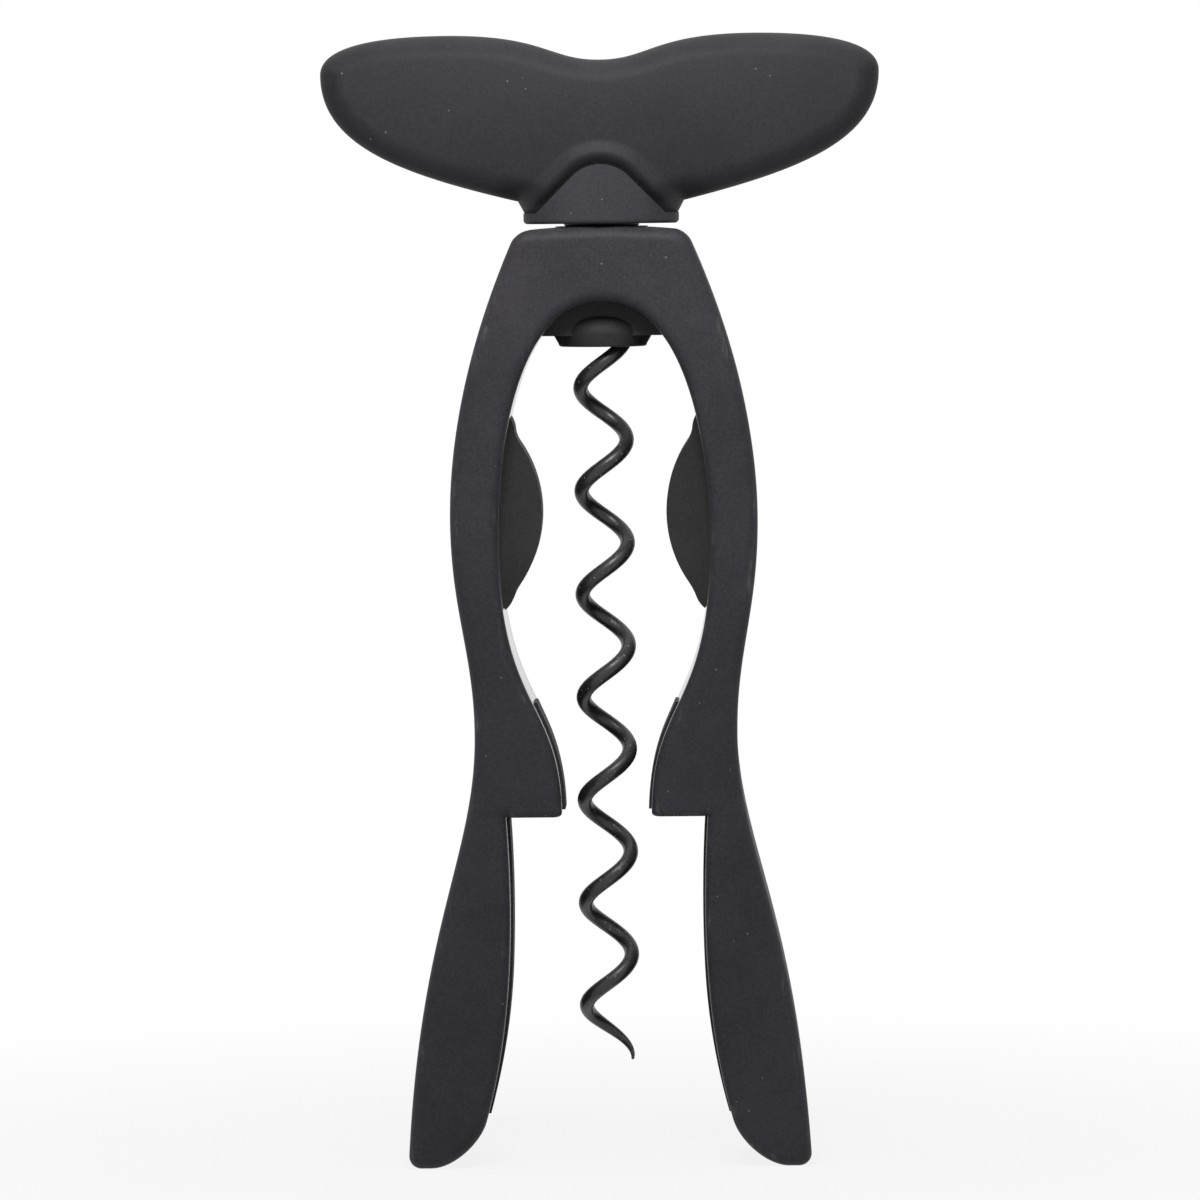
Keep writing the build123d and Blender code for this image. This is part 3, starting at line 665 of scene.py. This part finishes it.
def tube(name, centre, angle, radius, sides):
    """A round tube along a line: rings square to it, laid out from the outward direction of each point."""
    along = np.gradient(centre, axis=0)
    along /= np.linalg.norm(along, axis=1, keepdims=True)
    outward = np.stack([np.cos(angle), np.sin(angle), np.zeros_like(angle)], -1)
    outward -= along * np.sum(outward * along, axis=1, keepdims=True)
    outward /= np.linalg.norm(outward, axis=1, keepdims=True)
    sideways = np.cross(along, outward)
    round_turn = np.linspace(0, 2 * math.pi, sides, endpoint=False)[None, :, None]
    rings = centre[:, None] + radius[:, None, None] * (
        np.cos(round_turn) * outward[:, None] + np.sin(round_turn) * sideways[:, None])
    count = len(centre)
    here = np.arange(count - 1)[:, None] * sides + np.arange(sides)[None]
    beside = np.arange(count - 1)[:, None] * sides + (np.arange(sides)[None] + 1) % sides
    walls = np.stack([here, beside, beside + sides, here + sides], -1).reshape(-1, 4)
    ring = np.arange(sides)
    last = (count - 1) * sides
    low_cap = np.stack([np.full(sides, count * sides), (ring + 1) % sides, ring], -1)
    high_cap = np.stack([np.full(sides, count * sides + 1), last + ring, last + (ring + 1) % sides], -1)
    points = np.concatenate([rings.reshape(-1, 3), centre[:1], centre[-1:]])
    return put_mesh(name, points, walls.tolist() + low_cap.tolist() + high_cap.tolist())


tip_turn = (TIP_HEIGHT - LEFT_HEIGHT) / PITCH
shank_turn = (SHANK_TOP - LEFT_HEIGHT) / PITCH
worm_turns = np.concatenate([tip_turn + TAPER_TURNS * np.linspace(0, 1, 40) ** 1.3,
                             np.linspace(tip_turn + TAPER_TURNS, LEAD_IN_TURN, 420)[1:],
                             np.linspace(LEAD_IN_TURN, shank_turn, 12)[1:]])
worm_line, worm_angle = worm_centre(worm_turns)
drawn_out = np.clip(1 - (worm_turns - tip_turn) / TAPER_TURNS, 0, 1)
worm_radius = WIRE + (POINT - WIRE) * drawn_out ** 1.6
worm_wire = tube("worm_wire", worm_line, worm_angle, worm_radius, 28)
# Its film on upward faces is dust together with painted light from above.
worm_skin = black_skin("worm_coating", (0.018, 0.0171, 0.0171), (0.042, 0.0400, 0.0400),
                       roughness=(0.27, 0.42), grain_size=0.3, grain_depth=0.014, dust_and_top_light=0.25, gloss=0.6,
                       speck_share=0.7, dust_and_highlight_colour=(0.34, 0.33, 0.33), speck_gap=0.8, speck_radius=0.14)
worm_wire.data.materials.append(worm_skin)
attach(worm_wire, "screw")
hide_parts("worm")


# The anchor and the cross pin: ground steel, pressed on the worm's shank and through it inside the hub,
# where only a handle that has been taken apart shows them.
def ground_steel(name, scale):
    """Bright steel with fine grinding lines round the axis, as a stretched noise in roughness and height."""
    material = bpy.data.materials.new(name)
    material.use_nodes = True
    nodes = material.node_tree.nodes
    links = material.node_tree.links
    metal = nodes["Principled BSDF"]
    metal.inputs["Metallic"].default_value = 1.0
    place = nodes.new("ShaderNodeTexCoord")
    lines_place = nodes.new("ShaderNodeMapping")
    lines_place.inputs["Scale"].default_value = scale
    lines = nodes.new("ShaderNodeTexNoise")
    lines.inputs["Scale"].default_value = 300.0
    lines.inputs["Detail"].default_value = 4.0
    links.new(place.outputs["Object"], lines_place.inputs["Vector"])
    links.new(lines_place.outputs["Vector"], lines.inputs["Vector"])
    tone = ramp(nodes, 0.3, 0.7, (0.46, 0.46, 0.47), (0.6, 0.6, 0.61))
    rough = ramp(nodes, 0.3, 0.7, (0.28, 0.28, 0.28), (0.42, 0.42, 0.42))
    links.new(lines.outputs["Fac"], tone.inputs["Fac"])
    links.new(lines.outputs["Fac"], rough.inputs["Fac"])
    links.new(tone.outputs["Color"], metal.inputs["Base Color"])
    links.new(rough.outputs["Color"], metal.inputs["Roughness"])
    raised = nodes.new("ShaderNodeBump")
    raised.inputs["Distance"].default_value = 0.003 * MM
    links.new(lines.outputs["Fac"], raised.inputs["Height"])
    links.new(raised.outputs["Normal"], metal.inputs["Normal"])
    return material


finish_node("worm_anchor", ground_steel("anchor_steel", (1.0, 1.0, 12.0)))
finish_node("cross_pin", ground_steel("pin_steel", (12.0, 1.0, 1.0)))


# The hub: moulded nylon under the same soft-touch coat as the handle, a block with rounded corners
# whose flat front shows in the arch of the handle and ends in a low collar over the thrust ring.
hub_skin = black_skin("hub_soft_touch", (0.030, 0.0282, 0.0338), (0.048, 0.0454, 0.0540))
finish_node("hub", hub_skin)


# The handle: two shells of soft-touch nylon over a ribbed insert, pegged together: two broad crowned
# lobes to turn by, rounded along their edges, with a soft bead in an arch round the hub's flat front.
# The insert and its pegs are plain black nylon.
DIP = (0.0, 166.9)
LOBE = (23.05, 170.7)
WIDE = (41.95, 164.95)
ROOT = (12.5, 145.7)
NECK_FOOT = (11.55, 143.9)
HALF_DEPTH = 12.3
CROWN = 75.0
EDGE_ROUND = 3.5
NECK_ROUND = 6.5
SHIELD_TOP = 151.3
SHIELD_ROUND = 6.0
BEAD_WIDTH = 3.7
BEAD_RISE = 0.72
GROOVE = 0.4
GROOVE_SHARE = 0.4
BEAD_LEAN = 0.8
BEAD_FADE = 0.9
NECK_RISE = (150.5, 145.0)
NECK_REACH = (17.0, 12.0)
WALL = 2.6
HANDLE_MIDDLE = (0.0, 0.0, 157.0)
MIDDLE_CALM = 8.0
WINDOW_RUN = 6.0
OUTER_RUN = (1.0, 9.0)
HANDLE_ROWS = 72
HALF_COLUMNS = 150


def front_of_handle(x, z, outer, window):
    """Depth of the face: a crown, less the quarter round of its edge, plus the bead, less the groove.

    The crown is an arc over the height, the round goes by the distance from the outer edge, and bead
    and groove go by the distance from the shield's edge: a squared sine, and a step down at its foot."""
    middle = (ROOT[1] + LOBE[1]) / 2
    crowned = HALF_DEPTH - CROWN + np.sqrt(CROWN ** 2 - (z - middle) ** 2)
    at_neck = step_between(z, *NECK_RISE)
    radius = EDGE_ROUND + (NECK_ROUND - EDGE_ROUND) * at_neck * step_between(np.abs(x), *NECK_REACH)
    inside = np.minimum(distance_to(outer, x, z), radius)
    rounded = radius - np.sqrt(np.maximum(radius ** 2 - (radius - inside) ** 2, 0))
    share = np.clip(distance_to(window, x, z) / BEAD_WIDTH, 0, 1)
    ridge = BEAD_RISE * np.sin(math.pi * share ** BEAD_LEAN) ** 2
    ridge = ridge - GROOVE * (1 - step_between(share, 0, GROOVE_SHARE))
    return -(crowned - rounded + ridge * step_between(inside, 0, BEAD_FADE * radius))


upper = np.concatenate([cubic(DIP, [(7.57, 0), (-15.0, 0)], LOBE, 60),
                        cubic(LOBE, [(10.5, 0), (0, 4.35)], WIDE, 70)[1:]])
lower = np.concatenate([[NECK_FOOT], cubic(WIDE, [(0, -10.7), (17.3, 4.25)], ROOT, 110)[::-1]])
window_corner = SHIELD_ROUND * math.sin(math.pi / 4)
window_shoulder = SHIELD_TOP - SHIELD_ROUND + window_corner
window_foot = window_corner + window_shoulder - NECK_FOOT[1]
turn = np.linspace(0, math.pi / 4, 16)
window = np.stack([SHIELD_ROUND * np.sin(turn), SHIELD_TOP - SHIELD_ROUND * (1 - np.cos(turn))], -1)
window = np.concatenate([window, [(window_foot + WINDOW_RUN, NECK_FOOT[1] - WINDOW_RUN)]])
outer_end = (NECK_FOOT[0] - OUTER_RUN[0], NECK_FOOT[1] - OUTER_RUN[1])
outer = np.concatenate([upper, lower[-2::-1], [outer_end]])
outer = np.concatenate([(outer * (-1, 1))[::-1], outer[1:]])
window_line = np.concatenate([(window * (-1, 1))[::-1], window[1:]])

half_columns = WIDE[0] * np.sin(np.linspace(0, math.pi / 2, HALF_COLUMNS))
corner_columns = np.concatenate([window[:-1, 0], [window_foot, NECK_FOOT[0], ROOT[0]]])
half_columns = np.union1d(half_columns, corner_columns)
columns = np.concatenate([-half_columns[:0:-1], half_columns])
reach = np.abs(columns)
high = np.interp(reach, upper[:, 0], upper[:, 1])
low = np.interp(reach, lower[:, 0], lower[:, 1])
low = np.where(reach < NECK_FOOT[0], NECK_FOOT[1], low)
low = np.where(reach < window_foot, np.interp(reach, window[:, 0], window[:, 1]), low)
rows = spaced(0, 1, HANDLE_ROWS)
grid_x = np.repeat(columns[:, None], len(rows), 1)
grid_z = low[:, None] + (high - low)[:, None] * rows
grid_y = front_of_handle(grid_x, grid_z, outer, window_line)


def drawn_in(points, amount):
    """Points moved towards the handle's middle, across and up, by an amount that fades close to it."""
    away = (np.array(HANDLE_MIDDLE) - points) * (1, 0, 1)
    return points + away / np.maximum(np.linalg.norm(away, axis=-1, keepdims=True), MIDDLE_CALM) * amount


def handle_shell(name, side):
    """One hollow shell; side -1 is the front.

    Its face is joined to the lining, which is the face drawn in by the wall, by rings of the edge: down
    to the seam, over the bevel, across the rim and back inside."""
    face = np.stack([grid_x, grid_y, grid_z], -1)
    lining = drawn_in(face, WALL) + (0, WALL, 0)
    edge, inner = [np.concatenate([grid[:, -1], grid[::-1, 0], grid[:1, -1]]) for grid in (face, lining)]
    bevel = drawn_in(edge, SEAM)
    ring = [edge, edge * (1, 0.5, 1), edge * (1, 0, 1) - (0, SEAM, 0),
            bevel * (1, 0, 1), inner * (1, 0, 1), inner]
    return welded_mesh(name, [face, np.stack(ring, 1), lining[::-1]], side)


handle_skin = black_skin("handle_soft_touch", (0.0150, 0.0140, 0.0169), (0.0254, 0.0239, 0.0284), velvet=0.04)
for shell_name, side in (("handle_front_shell", -1), ("handle_back_shell", 1)):
    shell = handle_shell(shell_name + "_skin", side)
    shell.data.materials.append(handle_skin)
    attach(shell, "screw")
    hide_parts(shell_name)
finish_node("handle_insert", core_skin)
finish_node("handle_pegs", peg_skin)
